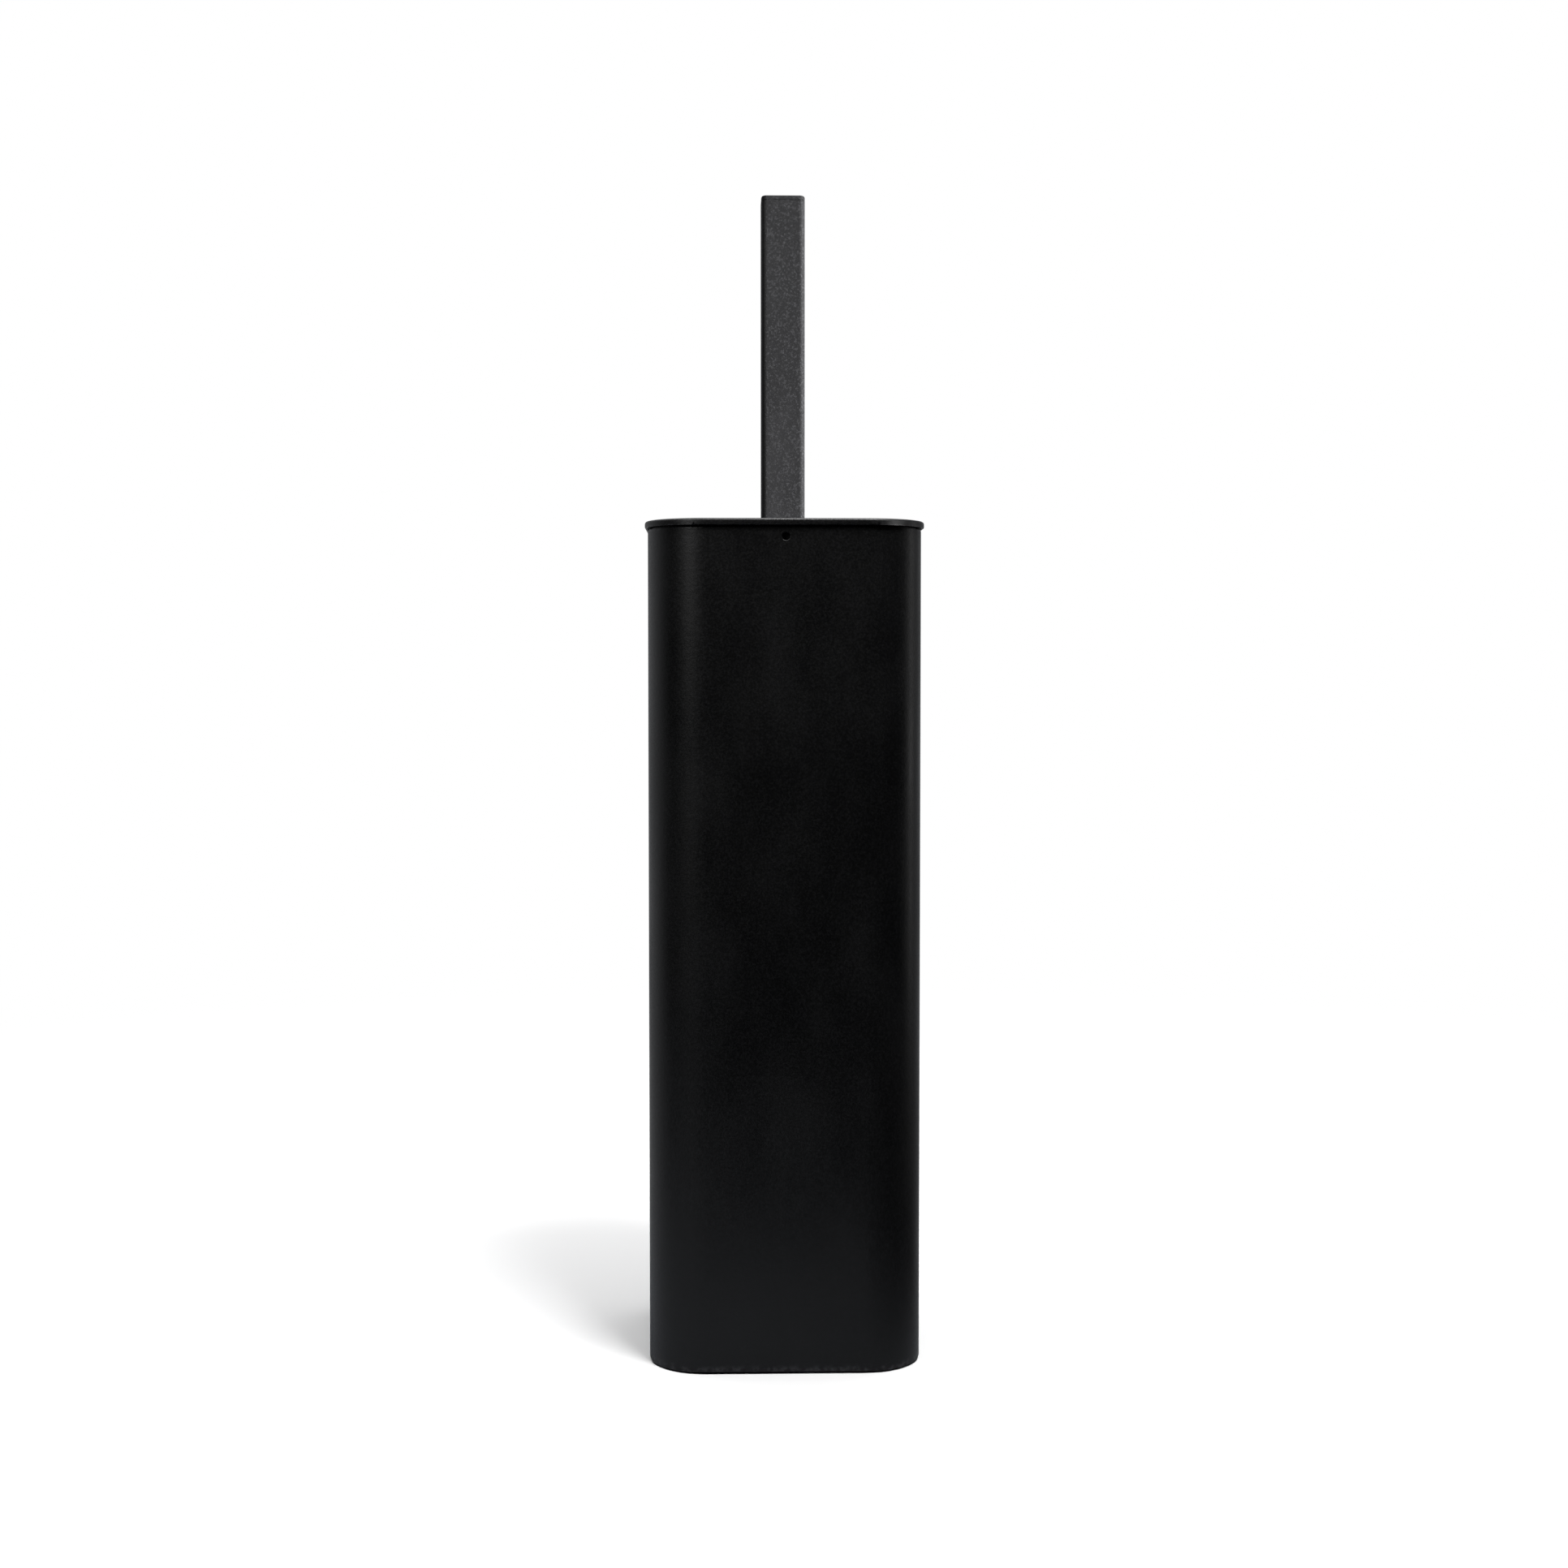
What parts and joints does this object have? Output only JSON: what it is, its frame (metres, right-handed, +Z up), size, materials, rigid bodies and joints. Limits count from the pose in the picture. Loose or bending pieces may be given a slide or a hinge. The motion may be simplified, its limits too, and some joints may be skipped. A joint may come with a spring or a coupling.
{
  "type": "toilet brush holder",
  "caption": "Tall square toilet brush canister with rounded corners, lift-out bucket, and a brush with a square handle that carries the lid.",
  "frame": {"origin": "on the floor under the middle of the canister", "axes": "+Z up along the canister, -Y out of its front, the face with the small round hole near its top"},
  "size_m": [0.094, 0.094, 0.3975],
  "materials": {
    "powder_coat_black": "matte",
    "powder_coat_handle": "matte",
    "moulded_plastic_black": "matte",
    "bucket_plastic": "satin",
    "pad_rubber": "matte",
    "stainless_steel": "satin",
    "socket_aluminium": "satin",
    "brush_plastic": "satin",
    "bristle_nylon": "matte"
  },
  "bodies": {
    "holder": {"canister_shell": "powder_coat_black", "base_tray": "moulded_plastic_black", "foot_pad_front_left": "pad_rubber", "foot_pad_front_right": "pad_rubber", "foot_pad_back_left": "pad_rubber", "foot_pad_back_right": "pad_rubber"},
    "bucket": {"inner_bucket": "bucket_plastic"},
    "brush": {"lid_cap": "powder_coat_black", "lid_insert": "moulded_plastic_black", "clamp_washer": "stainless_steel", "clamp_nut": "stainless_steel", "handle_tube": "powder_coat_handle", "handle_end_cap": "powder_coat_handle", "handle_socket": "socket_aluminium", "shaft_rod": "stainless_steel"},
    "neck_seal": {"neck_washer": "pad_rubber"},
    "brush_head": {"brush_core": "brush_plastic", "bristle_row_1": "bristle_nylon", "bristle_row_2": "bristle_nylon", "bristle_row_3": "bristle_nylon", "bristle_row_4": "bristle_nylon", "bristle_row_5": "bristle_nylon", "bristle_row_6": "bristle_nylon", "bristle_tip": "bristle_nylon"}
  },
  "joints": [
    {"name": "bucket_lift", "type": "slide", "parent": "holder", "child": "bucket", "axis": [0, 0, 1], "range_m": [0, 0.285]},
    {"name": "brush_lift", "type": "slide", "parent": "bucket", "child": "brush", "axis": [0, 0, 1], "range_m": [0, 0.27]},
    {"name": "head_advance", "type": "slide", "parent": "brush", "child": "neck_seal", "axis": [0, 0, -1], "range_m": [0, 0.0101]},
    {"name": "head_unscrew", "type": "hinge", "parent": "neck_seal", "child": "brush_head", "pos_m": [0, 0, 0.1258], "axis": [0, 0, -1], "range_deg": [0, 1440]}
  ],
  "couplings": [
    {"joint": "head_advance", "follows": "head_unscrew", "m_per_rad": 0.00039789}
  ]
}
